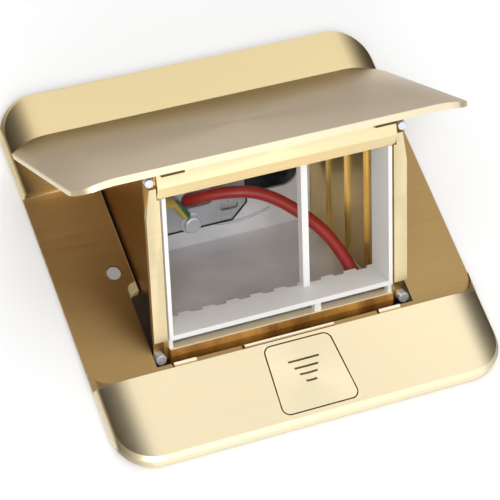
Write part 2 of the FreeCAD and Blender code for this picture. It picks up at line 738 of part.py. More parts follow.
def keeper_plates():
    """Steel strips under the lid's front edge that the magnets pull."""
    members = []
    for sign in (-1, 1):
        block = document.addObject("Part::Box", "keeper")
        bind(block, "Length", 2 * S["magnet_half"])
        bind(block, "Width", 1.6)
        bind(block, "Height", 0.8)
        base = (S["magnet_x"] * sign - S["magnet_half"], magnet_front, lid_under - 0.8)
        for letter, entry in zip("xyz", base):
            bind(block, "Placement.Base." + letter, entry)
        members.append(block)
    Assembled("keeper_plates", "Compound", members, LID_PLACE)


def hinge_shaft(side):
    """Stub shaft riveted in the cheek: inner head, shank and groove for its clip."""
    sign = -1 if side == "left" else 1
    head, tip = cheek_inner - S["shaft_head"], S["outer_ear"] + S["outer_ear_sheet"] * 0.8
    low, high = (head, tip) if sign > 0 else (-tip, -head)
    cap_low, cap_high = (head, cheek_inner) if sign > 0 else (-cheek_inner, -head)
    shank = rod("X", S["shaft_radius"], low, high, S["hinge_y"], hinge_z)
    cap = rod("X", S["shaft_radius"] + S["shaft_head"], cap_low, cap_high, S["hinge_y"], hinge_z)
    Assembled("hinge_shaft_" + side, "Compound", [together(shank, cap)])


def spring_collar():
    """Disc keyed on the left shaft; the spring's moving leg bears on its ear."""
    near = ear_inner + S["bracket_sheet"] + 0.3
    ring = rod("X", 4.8, -near - 1.2, -near, S["hinge_y"], hinge_z)
    hole = rod("X", S["shaft_radius"], -near - 2, -near + 1, S["hinge_y"], hinge_z)
    Assembled("spring_collar", "Compound", [less(ring, hole)])


# Cradle.


def cradle_cheek(side):
    sign = -1 if side == "left" else 1
    piece = Piece("cradle_cheek_" + side, CRADLE_PLACE)

    def between(low, high):
        return (low, high) if sign > 0 else (-high, -low)

    foot = -S["cheek_foot"]
    clear = swing_radius + S["swing_gap"] + 0.6
    arm = polar(clear, 161.5)
    shoulder_angle = 115.5
    back = polar(clear, shoulder_angle)
    middle = (hinge_depth, S["hinge_rise"])
    hub = S["hub_radius"]
    hub_low, hub_high = polar(hub, -60), polar(hub, 115)
    outline = [(trim_back, foot), (tray_depth, foot), (hub_low[0], hub_low[1], middle[0], middle[1], 1),
               hub_high, (arm[0], arm[1], middle[0], middle[1], -1), (back[0], roof(back[0])),
               (trim_back, roof(trim_back))]
    piece.add("YZ", *between(cheek_inner, S["cheek_half"]), outline)
    # front flange that the trim covers
    flange_edge = S["trim_half"] - 0.2
    top = face_height - 0.8
    low = -S["flange_foot"]
    slope = [(cheek_inner * sign, low), (flange_edge * sign, low), (flange_edge * sign, top),
             (cheek_inner * sign, top)]
    piece.add("XZ", trim_back, trim_back + S["flange_thickness"], slope)
    piece.cut("XZ", trim_back - 1, trim_back + 2, *[circle(S["screw_x"] * sign, height, S["screw_shank"])
                                                    for height, radius, length in screw_rows])
    # flange along the top, fixed to the lid
    start, stop = 12, 48
    thick = S["cheek_thickness"]
    piece.add("YZ", *between(cheek_inner - S["lid_flange"], S["cheek_half"]),
              [(start, roof(start) - thick), (stop, roof(stop) - thick), (stop, roof(stop)),
               (start, roof(start))])
    # stiffening ribs on the inner face
    rib = S["rib_width"]
    for index in range(3):
        place = 17 + S["rib_pitch"] * index
        tall = roof(place + rib) - thick - 1 if index < 2 else arm[1] - 4
        piece.add("YZ", *between(cheek_inner - S["rib_depth"], cheek_inner + 0.2),
                  rectangle(place, place + rib, 1, tall))
    piece.cut("YZ", *between(cheek_inner - 2, S["cheek_half"] + 1), circle(*middle, S["shaft_radius"]))


def side_trim(side):
    sign = -1 if side == "left" else 1
    piece = Piece("side_trim_" + side, CRADLE_PLACE)
    inner, outer = S["trim_half"] - S["trim_width"], S["trim_half"]
    notch = S["bar_half"] + 0.2
    step = face_height - S["top_bar"] - 0.1
    top = face_height - 4.5
    corners = [(inner, S["trim_foot"]), (outer, S["trim_foot"]), (outer, face_height - 13.5),
               (notch + 2, top), (notch, top), (notch, step), (inner, step)]
    piece.add("XZ", 0, trim_back, [(x * sign, z) for x, z in corners])


def top_bar():
    """Folded bar across the head of the face, with two facets."""
    piece = Piece("top_bar", CRADLE_PLACE)
    foot = face_height - S["top_bar"]
    ridge = foot + S["top_bar_ridge"]
    back = S["bar_thickness"]
    piece.add("YZ", -S["bar_half"], S["bar_half"],
              [(back, foot), (0.4, foot), (-S["ridge_reach"], ridge), (0.2, roof(0.2)), (back, roof(back))])
    # relief behind the ends for the cheeks and their flanges
    near = cheek_inner - 0.1
    for low, high in ((near, S["bar_half"] + 1), (-S["bar_half"] - 1, -near)):
        piece.cut("XZ", trim_back, back + 1, rectangle(low, high, foot - 1, face_height + 1))


def bottom_bar():
    piece = Piece("bottom_bar", CRADLE_PLACE)
    foot = -S["bottom_bar_drop"]
    top = foot + S["bottom_bar"]
    back = S["bar_thickness"]
    reach = cheek_inner - 0.1
    piece.add("YZ", -reach, reach,
              [(back, foot), (0.2, foot), (-0.5, foot + 3), (0, top), (back, top)])


def corner_screws():
    """Four cheese-head screws through the front flanges, beyond the ends of the trims."""
    screws = []
    for sign in (-1, 1):
        for height, radius, length in screw_rows:
            place = S["screw_x"] * sign
            head = rod("Y", radius, trim_back - length, trim_back, place, height)
            shank = rod("Y", S["screw_shank"], trim_back, trim_back + 3, place, height)
            screws.append(together(head, shank))
    Assembled("corner_screws", "Compound", screws, CRADLE_PLACE)


def module_frame():
    """Plastic bezel for three modules, with a castellated ledge at its foot."""
    piece = Piece("module_frame", CRADLE_PLACE)
    clear = cheek_inner - 0.1
    inner = 1.5 * S["module_width"]
    foot = S["bottom_bar"] - S["bottom_bar_drop"] + S["frame_foot_gap"]
    low = foot + S["ledge"]
    high = low + S["module_height"]
    depth = S["bezel_depth"]
    piece.add("XZ", 0, depth, rectangle(-clear, clear, foot, high + 0.2))
    piece.cut("XZ", -1, depth + 1, rectangle(-inner, inner, low, high + 2))
    front_head = face_height - S["top_bar"] - 0.1
    piece.cut("XZ", -1, S["bar_thickness"] + 0.2,
              rectangle(-clear - 1, clear + 1, front_head, high + 2))
    teeth = [rectangle(-inner + 7.5 * index + 2, -inner + 7.5 * index + 5.5, foot - 1, low + 1)
             for index in range(9)]
    piece.cut("XZ", depth - 1.2, depth + 1, *teeth)
    # feet that bear on the bottom bar, at the sides and under the divider
    seat = S["bottom_bar"] - S["bottom_bar_drop"]
    middle = S["module_width"] / 2
    feet = [rectangle(low_x, high_x, seat, foot + 0.2)
            for low_x, high_x in ((-clear, -inner), (middle - 1, middle + 1), (inner, clear))]
    for outline in feet:
        piece.add("XZ", 0.8, S["bar_thickness"], outline)


def module_divider():
    piece = Piece("module_divider", CRADLE_PLACE)
    foot = S["bottom_bar"] - S["bottom_bar_drop"] + S["frame_foot_gap"] + S["ledge"]
    middle = S["module_width"] / 2
    thin = S["divider"] / 2
    start, stop = S["divider_set_back"], S["bezel_depth"]
    piece.add("XZ", start, stop, rectangle(middle - thin, middle + thin, foot, foot + S["module_height"]))
    barbs = []
    for index in range(8):
        place = foot + 3 + 5.2 * index
        barbs.append(rectangle(middle + thin - 0.1, middle + thin + 0.5, place, place + 2))
    for barb in barbs:
        piece.add("XZ", stop - 1.6, stop, barb)


def steel_tray():
    """Galvanised floor and back of the cradle, with slots for the cables."""
    piece = Piece("steel_tray", CRADLE_PLACE)
    foot = -S["cheek_foot"]
    sheet_size = S["tray_sheet"]
    clear = cheek_inner - 0.1
    depth = tray_depth - 0.5
    piece.add("XY", foot, foot + sheet_size, rectangle(-clear, clear, S["bar_thickness"] + 0.3, depth))
    piece.add("XZ", depth - sheet_size, depth, rectangle(-clear, clear, foot, foot + S["tray_height"]))
    slot = 5.5
    piece.cut("XZ", depth - sheet_size - 1, depth + 1,
              rounded(3, 31, foot + 14, foot + 14 + 2 * slot, slot - 0.5))
    start, end = LINE_ROUTE[0], LINE_ROUTE[-1]
    piece.cut("XZ", depth - sheet_size - 1, depth + 1, circle(start[0] + 0.4, start[2] + 0.2, S["lead_hole"]))
    piece.cut("XY", foot - 1, foot + sheet_size + 1, circle(end[0] - 0.1, end[1] + 1.1, S["lead_hole"]))


def lid_rivets():
    """Rivet heads under the cheeks' top flanges, which fix them to the lid."""
    heads = []
    flange_under = lid_under - S["cheek_thickness"]
    for sign in (-1, 1):
        for y in (-S["rivet_front"], S["rivet_back"]):
            place = (cheek_inner - S["lid_flange"] / 2) * sign
            heads.append(rod("Z", S["rivet_radius"], flange_under - 1, flange_under, place, y))
    Assembled("lid_rivets", "Compound", heads, LID_PLACE)


def earth_bracket():
    """Slotted earthing plate on two feet in front of the tray's back."""
    piece = Piece("earth_bracket", CRADLE_PLACE)
    thick = S["earth_plate"]
    front = earth_front
    low, high = S["earth_plate_low"], S["earth_plate_high"]
    left, right = -S["earth_plate_left"], S["earth_plate_right"]
    corner = 5
    piece.add("XZ", front, front + thick,
              [(left, low), (right - corner, low), (right, low + corner), (right, high), (left, high)])
    for start in (left, right - thick):
        piece.add("XZ", front, tray_wall, rectangle(start, start + thick, low + corner + 1, high - 3))
    slots = [rounded(left + x, left + x + 6, low + z, low + z + 2.4, 1.1) for x, z in ((3, 4), (3, 10), (29, 4))]
    piece.cut("XZ", front - 1, front + thick + 1, *slots)
    x, z = LINE_ROUTE[0][0] + 7, LINE_ROUTE[0][2] + 3.7
    long, tall = 2 * S["wire_radius"] + 1.6, S["wire_radius"] + 0.9
    piece.cut("XZ", front - 1, front + thick + 1, rounded(x - long, x + long, z - tall, z + tall, tall - 0.2),
              circle(-S["terminal_x"], S["terminal_z"], S["earth_plate"]))


def earth_screw():
    """Terminal screw with its clamping washer in front of the earthing plate."""
    x, z = -S["terminal_x"], S["terminal_z"]
    shank = rod("Y", S["earth_plate"], earth_front - 1, earth_front + 3, x, z)
    washer = rod("Y", S["terminal_radius"] + 0.4, earth_front - 1, earth_front, x, z)
    head = rod("Y", S["terminal_radius"], earth_front - 3, earth_front - 1, x, z)
    Assembled("earth_screw", "Compound", [together(shank, washer, head)], CRADLE_PLACE)


def route(points):
    """Straight runs joined by tangent arcs, each as large as its two runs allow."""
    edges = []
    start = points[0]
    for index in range(1, len(points) - 1):
        before = (points[index - 1] - points[index])
        after = (points[index + 1] - points[index])
        room = 0.45 * min(before.Length, after.Length)
        half_turn = (math.pi - before.getAngle(after)) / 2
        radius = room / math.tan(half_turn)
        entry = points[index] + Vector(before).normalize() * room
        leave = points[index] + Vector(after).normalize() * room
        inward = (Vector(before).normalize() + Vector(after).normalize()).normalize()
        crest = points[index] + inward * (radius / math.cos(half_turn) - radius)
        edges.append(Part.LineSegment(start, entry).toShape())
        edges.append(Part.Arc(entry, crest, leave).toShape())
        start = leave
        print("    arc radius %.1f mm" % radius)
    edges.append(Part.LineSegment(start, points[-1]).toShape())
    return Part.Wire(edges)


def lead(label, points, radius):
    """A held lead: a round section swept along its route."""
    path = route([Vector(*point) for point in points])
    first, second = Vector(*points[0]), Vector(*points[1])
    ring = Part.Wire(Part.Circle(first, second - first, radius.value).toShape())
    solid = path.makePipeShell([ring], True, False)
    ideal = math.pi * radius.value ** 2 * path.Length
    if abs(solid.Volume / ideal - 1) > 0.02:
        raise RuntimeError("%s: swept volume differs from section times length" % label)
    Formed(label, solid, CRADLE_PLACE)


def bonding_end(below):
    """A point on the axis of the lug's barrel, this far below its mouth, in the cradle's frame."""
    mouth = (lid_under - S["cheek_thickness"] - 0.8 - S["lug_barrel"]).value
    closed = Vector(-S["lug_x"].value, -S["lug_y"].value, mouth - below)
    return tuple(CRADLE_PLACE.inverse().multVec(LID_PLACE.multVec(closed)))


def earth_lug():
    """Crimp lug of the bonding lead, riveted under the left cheek's top flange."""
    under = lid_under - S["cheek_thickness"]
    tab = document.addObject("Part::Box", "tab")
    for name, amount in (("Length", 5), ("Width", 7), ("Height", 0.8)):
        bind(tab, name, amount)
    x, y = -S["lug_x"], -S["lug_y"]
    for letter, entry in zip("xyz", (x - 2.5, y - 2.5, under - 0.8)):
        bind(tab, "Placement.Base." + letter, entry)
    barrel = rod("Z", S["earth_wire_radius"] + 0.5, under - 0.8 - S["lug_barrel"], under - 0.4, x, y)
    Assembled("earth_lug", "Compound", [together(tab, barrel)], LID_PLACE)


def leads():
    lead("line_wire", LINE_ROUTE, S["wire_radius"])
    lead("earth_wire", EARTH_ROUTE + [bonding_end(9), bonding_end(0)], S["earth_wire_radius"])


# Routes in the cradle's frame. The line lead comes in through the tray's back and leaves through its
# floor; the earth lead runs from the terminal to the lug under the lid.
tray_wall = tray_depth - 0.5 - S["tray_sheet"]
earth_front = tray_wall - S["stand_off"]
back_level, plate_level = tray_wall.value + 0.5, earth_front.value
LINE_ROUTE = [(-12, back_level, 14.5), (-7, back_level - 5.5, 17.5), (1, back_level - 10, 20.2),
              (12, back_level - 16, 20.8), (22, 31, 15), (28.5, 21, 7), (30.3, 12, -1.8)]
EARTH_ROUTE = [(-9.63, plate_level - 1.6, 14.1), (-12.1, plate_level - 2.4, 18.3),
               (-15.6, plate_level - 6.4, 22.5), (-21, plate_level - 12.5, 26), (-27, 30.5, 29.5)]


def build_all():
    floor_plate()
    mounting_frame()
    seal_gasket()
    back_box()
    plate_screws()
    hinge_bracket("left")
    hinge_bracket("right")
    damper_housing()
    lid_spring()
    catch_magnets()
    lever_pin()
    earth_stud()
    button()
    button_spring()
    kick_lever()
    damper_pinion()
    lid()
    keeper_plates()
    hinge_shaft("left")
    hinge_shaft("right")
    spring_collar()
    damper_gear()
    cradle_cheek("left")
    cradle_cheek("right")
    side_trim("left")
    side_trim("right")
    top_bar()
    bottom_bar()
    module_frame()
    module_divider()
    steel_tray()
    corner_screws()
    lid_rivets()
    earth_bracket()
    earth_screw()
    earth_lug()
    leads()


build_all()
for piece in PIECES:
    if piece.place is not None:
        piece.body.Placement = piece.place
document.recompute()
for item in document.Objects:
    if "Invalid" in item.State or "Error" in item.State:
        raise RuntimeError("%s did not compute: %s" % (item.Label, item.State))
os.makedirs("parts", exist_ok=True)
for piece in PIECES:
    shape = piece.body.Shape
    if shape.isNull() or not shape.isValid():
        raise RuntimeError("%s has no valid shape" % piece.body.Label)
    print("%-22s %8.0f mm3  %d solid(s)" % (piece.body.Label, shape.Volume, len(shape.Solids)))
    shape.exportStep("parts/%s.step" % piece.body.Label)
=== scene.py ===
import json
import math

import bmesh
import bpy
from mathutils import Matrix, Vector


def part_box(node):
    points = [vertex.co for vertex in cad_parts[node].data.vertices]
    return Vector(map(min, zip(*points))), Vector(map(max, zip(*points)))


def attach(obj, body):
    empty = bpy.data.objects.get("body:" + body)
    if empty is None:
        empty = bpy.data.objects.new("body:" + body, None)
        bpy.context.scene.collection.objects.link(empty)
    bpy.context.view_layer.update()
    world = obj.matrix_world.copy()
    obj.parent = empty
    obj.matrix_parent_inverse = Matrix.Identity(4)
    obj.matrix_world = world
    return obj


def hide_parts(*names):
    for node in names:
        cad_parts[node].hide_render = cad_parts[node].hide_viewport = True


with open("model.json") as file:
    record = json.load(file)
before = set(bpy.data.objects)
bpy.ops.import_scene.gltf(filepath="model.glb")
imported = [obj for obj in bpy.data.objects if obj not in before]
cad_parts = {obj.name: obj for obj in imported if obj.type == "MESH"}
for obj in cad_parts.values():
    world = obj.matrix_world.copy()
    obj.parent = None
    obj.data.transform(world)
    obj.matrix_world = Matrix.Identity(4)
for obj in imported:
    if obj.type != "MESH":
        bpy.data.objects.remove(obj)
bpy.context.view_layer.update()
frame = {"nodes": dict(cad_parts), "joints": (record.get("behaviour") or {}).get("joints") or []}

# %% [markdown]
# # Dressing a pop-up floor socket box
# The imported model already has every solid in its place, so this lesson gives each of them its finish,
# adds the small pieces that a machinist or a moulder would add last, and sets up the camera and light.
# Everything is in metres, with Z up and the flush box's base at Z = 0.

nodes = frame["nodes"]
MM = 0.001

# %% [markdown]
# ## Two frames to think in
# The cradle leans back with the lid, so its pieces are easiest to describe in the cradle's own frame:
# across, into the cradle from its face, and up along the face. One matrix takes such a point to the world.
# The lid is easiest to describe as if it were shut, and a turn about the hinge opens it. The inverses take
# a point of the world back, which the finishes use to find an edge.

# %% The hinge line and the two frames
hinge = next(joint for joint in frame["joints"] if joint["name"] == "lid_hinge")
hinge_at = Vector(hinge["pos_m"])
open_angle = math.radians(hinge["range_deg"][1])
cradle_tip = math.radians(13)  # how far the cradle's face leans forward when the lid is shut
hinge_in_cradle = Vector((0, 0.0624, 0.0247))
ACROSS, DEPTH, HEIGHT = 0, 1, 2


def about_hinge(angle):
    return Matrix.Translation(hinge_at) @ Matrix.Rotation(angle, 4, "X")


CRADLE = about_hinge(cradle_tip - open_angle) @ Matrix.Translation(-hinge_in_cradle)
LID = about_hinge(-open_angle) @ Matrix.Translation(-hinge_at)
TO_CRADLE, TO_SHUT_LID = CRADLE.inverted(), LID.inverted()
print("cradle face origin in mm:", [round(v / MM, 2) for v in CRADLE.translation])

# %% [markdown]
# ## Camera
# A long lens from about 0.7 m away keeps the plate's edges nearly parallel. The camera's own axes are
# written as the rows of its rotation: right, up, and back.

# %% Camera
camera_data = bpy.data.cameras.new("camera")
camera_data.sensor_width = 36
camera_data.lens = 164.14272
camera_data.clip_start = 0.01
camera = bpy.data.objects.new("camera", camera_data)
bpy.context.scene.collection.objects.link(camera)
right = Vector((0.91502368, -0.34898779, 0.20233436))
up = Vector((0.22485084, 0.85766113, 0.46244945))
back = Vector((-0.33492352, -0.37765714, 0.86325044))
turn = Matrix((right, up, back)).transposed().to_4x4()
camera.matrix_world = Matrix.Translation((-0.22271, -0.25373, 0.63209)) @ turn
bpy.context.scene.camera = camera
camera_distance = camera.matrix_world.translation.length
print("camera: %.0f mm lens, %.2f m from the origin" % (camera_data.lens, camera_distance))

# %% [markdown]
# ## Shader maths as plain expressions
# A finish is easier to read as a formula than as a web of nodes. Signal wraps one output socket, and each
# operator adds the Math node it stands for. Any other node comes from Graph.node, which takes the node's
# type, its settings, the values or links of its sockets, and the output to go on from.


# %% Signal: arithmetic on sockets
class Signal:
    def __init__(self, graph, socket):
        self.graph, self.socket = graph, socket

    def math(self, operation, *others):
        inputs = dict(enumerate((self, *others)))
        return self.graph.node("ShaderNodeMath", {"operation": operation}, inputs)

    def __add__(self, other):
        return self.math("ADD", other)

    __radd__ = __add__

    def __mul__(self, other):
        return self.math("MULTIPLY", other)

    __rmul__ = __mul__

    def __sub__(self, other):
        return self.math("SUBTRACT", other)

    def __rsub__(self, other):
        return self.graph.node("ShaderNodeMath", {"operation": "SUBTRACT"}, {0: other, 1: self})

    def __abs__(self):
        return self.math("ABSOLUTE")

    def over(self, edge, softness):
        """0 well below edge, 1 well above it, with a ramp as wide as softness."""
        return ((self - edge) * (1 / softness) + 0.5).math("MINIMUM", 1).math("MAXIMUM", 0)


# %% Graph: any other node
class Graph:
    def __init__(self, tree):
        self.tree = tree

    def feed(self, node, socket, value):
        target = node.inputs[socket]
        if isinstance(value, Signal):
            self.tree.links.new(value.socket, target)
        elif target.type == "RGBA":
            target.default_value = (*value, 1)
        else:
            target.default_value = value

    def node(self, kind, settings, inputs, output=0):
        node = self.tree.nodes.new(kind)
        for name, value in settings.items():
            if name == "stops":
                for stop, (place, level) in zip(node.color_ramp.elements, value):
                    stop.position, stop.color = place, (level, level, level, 1)
            else:
                setattr(node, name, value)
        for socket, value in inputs.items():
            self.feed(node, socket, value)
        return Signal(self, node.outputs[output])

    def mix(self, factor, first, second):
        """Colours by factor, which is 0 for the first and 1 for the second."""
        return self.node("ShaderNodeMix", {"data_type": "RGBA"}, {0: factor, 6: first, 7: second}, 2)


# %% [markdown]
# A finish is a Graph whose tree ends in the Principled shader. What varies over the surface is painted:
# its colour and its roughness. Masks read the place on the object, so they stay put when the object moves.


# %% Finish: a material with what its patterns share
class Finish(Graph):
    def __init__(self, name, color, metallic, roughness, **fixed):
        self.material = bpy.data.materials.new(name)
        self.material.use_nodes = True
        super().__init__(self.material.node_tree)
        self.shader = self.tree.nodes["Principled BSDF"]
        self.feed(self.shader, "Metallic", metallic)
        for socket, value in fixed.items():
            self.feed(self.shader, socket.replace("_", " "), value)
        self.paint(color, roughness)

    def paint(self, color, roughness):
        """Feed the colour and roughness, and remember the colour for a layer over it."""
        self.color = color
        self.feed(self.shader, "Base Color", color)
        self.feed(self.shader, "Roughness", roughness)

    def axis(self, letter):
        here = self.node("ShaderNodeTexCoord", {}, {}, "Object")
        return self.node("ShaderNodeSeparateXYZ", {}, {"Vector": here}, letter)

    def framed(self, inverse, row):
        """A coordinate in another frame: the inverse matrix gives each axis its share."""
        x, y, z = (self.axis(letter) for letter in "XYZ")
        return x * inverse[row][0] + y * inverse[row][1] + z * inverse[row][2] + inverse[row][3]

    def noise(self, scale, detail=2.0):
        """Noise between 0 and 1 that changes about scale times in a metre, along X, Y and Z."""
        here = self.node("ShaderNodeTexCoord", {}, {}, "Object")
        spread = self.node("ShaderNodeVectorMath", {"operation": "MULTIPLY"}, {0: here, 1: scale})
        return self.node("ShaderNodeTexNoise", {}, {"Vector": spread, "Scale": 1.0, "Detail": detail}, "Fac")

    def bump(self, height, distance, strength):
        relief = {"Height": height, "Distance": distance, "Strength": strength}
        self.feed(self.shader, "Normal", self.node("ShaderNodeBump", {}, relief))


def srgb(*levels):
    """A colour picked on screen, 0 to 255, as the linear colour that a shader wants."""
    return tuple(((v / 255 + 0.055) / 1.055) ** 2.4 if v > 10 else v / 255 / 12.92 for v in levels)


# %% [markdown]
# ## Brushed brass
# The plate and lid are wiped with a belt along X, so the scratches are long in X and very fine across it.
# A noise that is stretched the same way gives them, and drives the colour, the roughness and a shallow bump.
# The same grain serves every brass piece, so one class holds it and each piece brings its own shades.


# %% Brushed grain
FINE_GRAIN, BROAD_GRAIN = (45, 5200, 5200), (12, 420, 420)


class Brass(Finish):
    def __init__(self, name, color, roughness, anisotropy=0.55):
        super().__init__(name, color, 1.0, roughness, Anisotropic=anisotropy)
        self.roughness = roughness
        self.fine = self.noise(FINE_GRAIN, 3.0)
        self.lines = self.fine * 0.65 + self.noise(BROAD_GRAIN) * 0.35

    def shades(self, deep, pale):
        """The deep shade in the scratches and the pale one between them."""
        return self.mix(self.lines.over(0.5, 0.9), deep, pale)

    def brush(self, color, rougher=0.0):
        """Colour the metal, and let the grain swing its roughness by 0.08 to each side."""
        self.paint(color, self.lines * 0.16 + rougher + (self.roughness - 0.08))

    def scratch(self):
        self.bump(self.fine, 0.000012, 0.35)


def plain_brass(name, deep, pale, roughness):
    brass = Brass(name, pale, roughness)
    brass.brush(brass.shades(deep, pale))
    brass.scratch()
    return brass


trim_brass = plain_brass("trim_brass", srgb(208, 190, 148), srgb(228, 214, 178), 0.35)
shaft_brass = plain_brass("shaft_brass", srgb(150, 116, 66), srgb(176, 142, 88), 0.4)
print("plain brass:", trim_brass.material.name, shaft_brass.material.name)

# %% [markdown]
# ## The top bar and the cheeks
# The top bar tucks under the lid, where painted shade leaves a dark line along its upper edge. A mask on
# the height in the cradle's frame gives it. The cheeks are painted paler inside, where the light reaches,
# than outside, which is painted shade, and a mask on the distance from the middle tells the two sides of the
# sheet apart.

# %% Top bar and cheek finishes
dark_line_height, cheek_outside = 0.0565, 0.0362
bar_brass = Brass("bar_brass", srgb(248, 234, 194), 0.32)
# Painted shade: a dark line along the bar's upper edge, under the lid.
painted_shade_under_lid = bar_brass.framed(TO_CRADLE, HEIGHT).over(dark_line_height, 0.0002)
open_face = bar_brass.shades(srgb(230, 208, 158), srgb(250, 236, 198))
bar_brass.brush(bar_brass.mix(painted_shade_under_lid, open_face, srgb(96, 76, 44)))
bar_brass.scratch()

cheek_brass = Brass("cheek_brass", srgb(226, 200, 136), 0.36)
# Painted shade: the outer faces of the cheeks are painted darker than the inner ones.
painted_shade_outside = abs(cheek_brass.axis("X")).over(cheek_outside, 0.0001)
inside_face = cheek_brass.shades(srgb(206, 178, 116), srgb(234, 210, 148))
cheek_brass.brush(cheek_brass.mix(painted_shade_outside, inside_face, srgb(150, 118, 72)))
cheek_brass.scratch()
print("masked brass:", bar_brass.material.name, cheek_brass.material.name)

# %% [markdown]
# ## The plate's tones
# Only the two raised bands of the plate are lacquered pale, and the back one is a little warmer. The recess
# between them, where the cradle rises, is a darker tan, and the bands' rounded ends are painted darker as
# painted shade, for the dark that they turn towards. A mask made from the place along Y gives the recess, and
# one from the distance along X the last millimetres of the ends.

# %% Plate finish
PALE, DEEP = srgb(254, 244, 214), srgb(244, 222, 176)
recess_front, recess_back, back_band = -0.0347, 0.0288, 0.0290
end_starts, end_stops = 0.0548, 0.0593
plate_brass = Brass("plate_brass", PALE, 0.34)
along, outward = plate_brass.axis("Y"), abs(plate_brass.axis("X"))
recess = along.over(recess_front + 0.0003, 0.0005) * (1 - along.over(recess_back - 0.0003, 0.0005))
# Painted shade: the last millimetres of the bands' rounded ends are painted dark.
rim = outward.over(end_starts, 0.0090) * (1 - outward.over(end_stops, 0.0005)) * (1 - recess)
warm = plate_brass.shades(srgb(232, 208, 152), srgb(244, 226, 182))
tan = plate_brass.shades(srgb(166, 134, 86), srgb(192, 162, 110))
bands = plate_brass.mix(along.over(back_band, 0.001), plate_brass.shades(DEEP, PALE), warm)
toned = plate_brass.mix(recess, bands, tan)
plate_brass.brush(plate_brass.mix(rim * 0.85, toned, srgb(98, 72, 42)), rougher=recess * 0.08)
plate_brass.scratch()
print("recess: %.1f mm from front to back" % ((recess_back - recess_front) / MM))

# %% [markdown]
# ## The lid's finish
# The lid's brass is painted greyer than the plate's, as painted shade for a top that faces away from the
# softbox, and it warms towards the hinge. Its cut edges carry a painted highlight, so a mask picks them out:
# seen in the shut lid's frame, the front edge lies within a fraction of a millimetre of the lid's lowest Y,
# and each end at the greatest distance along X.

# %% Lid finish, with painted shade and a painted highlight on the cut edges
shut = [TO_SHUT_LID @ vertex.co for vertex in nodes["lid"].data.vertices]
front_edge, end_edge = min(point.y for point in shut), max(point.x for point in shut)
warming = 0.018
# Painted shade: the lid's brass is painted greyer than the plate's.
lid_brass = Brass("lid_brass", srgb(184, 168, 142), 0.36)
shut_y = lid_brass.framed(TO_SHUT_LID, DEPTH)
# Painted highlight: a pale line along the lid's front edge and its ends.
front_edge_highlight = 1 - shut_y.over(front_edge + 0.0004, 0.0003)
end_edge_highlight = abs(lid_brass.axis("X")).over(end_edge - 0.0003, 0.0003)
faces = lid_brass.shades(srgb(178, 158, 126), srgb(202, 184, 158))
warmed = lid_brass.mix(shut_y.over(warming, 0.03), faces, srgb(222, 196, 142))
lid_brass.brush(lid_brass.mix(front_edge_highlight.math("MAXIMUM", end_edge_highlight), warmed, srgb(228, 216, 186)))
lid_brass.scratch()
print("shut lid: front edge %.2f mm, half width %.2f mm" % (front_edge / MM, end_edge / MM))

# %% [markdown]
# ## The button's mark
# Four engraved lines on the button grow shorter towards the front, so a foot finds it without looking.
# The lines are cut by a mask in X and Y: the cut darkens the brass, roughens it, and drives the bump down.
# The two shortest are bowed, which a square of the distance from the middle gives.


# %% Button finish, with its engraved lines
def engraved(across, along, middle, length, bow):
    """1 inside one line of the mark and 0 outside it."""
    beside = abs(along - across * across * bow - middle)
    return (1 - beside.over(0.00028, 0.00016)) * (1 - abs(across).over(length / 2, 0.0002))


# Each line's place along Y, its length, and how far its ends bow back.
MARK = [(-0.0420, 0.0095, 0), (-0.0443, 0.0073, 0), (-0.0464, 0.0054, 14), (-0.0487, 0.0032, 40)]
button_brass = Brass("button_brass", PALE, 0.34)
across, along = button_brass.axis("X"), button_brass.axis("Y")
cut = engraved(across, along, *MARK[0])
for line in MARK[1:]:
    cut = cut.math("MAXIMUM", engraved(across, along, *line))
face = button_brass.shades(srgb(238, 222, 180), srgb(252, 242, 210))
button_brass.brush(button_brass.mix(cut, face, srgb(112, 92, 58)), rougher=cut * 0.25)
button_brass.bump(button_brass.fine * 0.1 - cut, 0.00015, 0.6)
print("lines on the button:", len(MARK))

# %% [markdown]
# ## The amber bottom bar
# The lower bar sits in the mouth's shade and has tarnished. It is amber with darker patches along it, far
# less of a mirror than clean brass, and a painted highlight runs as a bright line along its crest.

# %% Amber bar
crest_height = 0.00095
amber_brass = Finish("amber_brass", srgb(190, 140, 66), 0.3, 0.38, Anisotropic=0.4)
patches = amber_brass.noise((160, 60, 60), 3.0)
patched = amber_brass.mix(patches.over(0.5, 0.3), srgb(134, 86, 28), srgb(198, 142, 64))
# Painted highlight: a bright line along the bar's crest.
painted_crest_highlight = amber_brass.framed(TO_CRADLE, HEIGHT).over(crest_height, 0.00015)
amber_brass.paint(amber_brass.mix(painted_crest_highlight, patched, srgb(255, 240, 205)), patches * 0.2 + 0.26)
amber_brass.bump(amber_brass.noise(FINE_GRAIN, 3.0) + patches, 0.00003, 0.4)
print("tarnished brass:", amber_brass.material.name)

# %% [markdown]
# ## The catch
# The kick-up lever and the magnets show as bright tabs at the front of the recess. Their foremost edge lies
# in the shade of the front band and is darker.

# %% Catch finish
tab_starts = -0.0330
catch_brass = Brass("catch_brass", srgb(252, 238, 205), 0.34, anisotropy=0.0)
in_light = catch_brass.axis("Y").over(tab_starts, 0.0002)
catch_brass.brush(catch_brass.mix(in_light, srgb(200, 166, 112), srgb(255, 246, 222)))
print("catch:", catch_brass.material.name)


# %% [markdown]
# ## Steel, plastic, rubber and sheathing
# Galvanised sheet shows faint cloudy patches, zinc-plated screws are brighter and smoother, and moulded
# plastic has a soft, slightly uneven skin. Two functions make them all, each with its own small variation.


# %% Steel and moulded finishes
def sheet_steel(name, light, dark, roughness, metallic=1.0):
    finish = Finish(name, light, metallic, roughness)
    clouds = finish.noise((60, 60, 60), 4.0)
    finish.paint(finish.mix(clouds.over(0.5, 0.5), dark, light), clouds * 0.2 + (roughness - 0.1))
    finish.bump(finish.noise((900, 900, 900)), 0.00001, 0.3)
    return finish


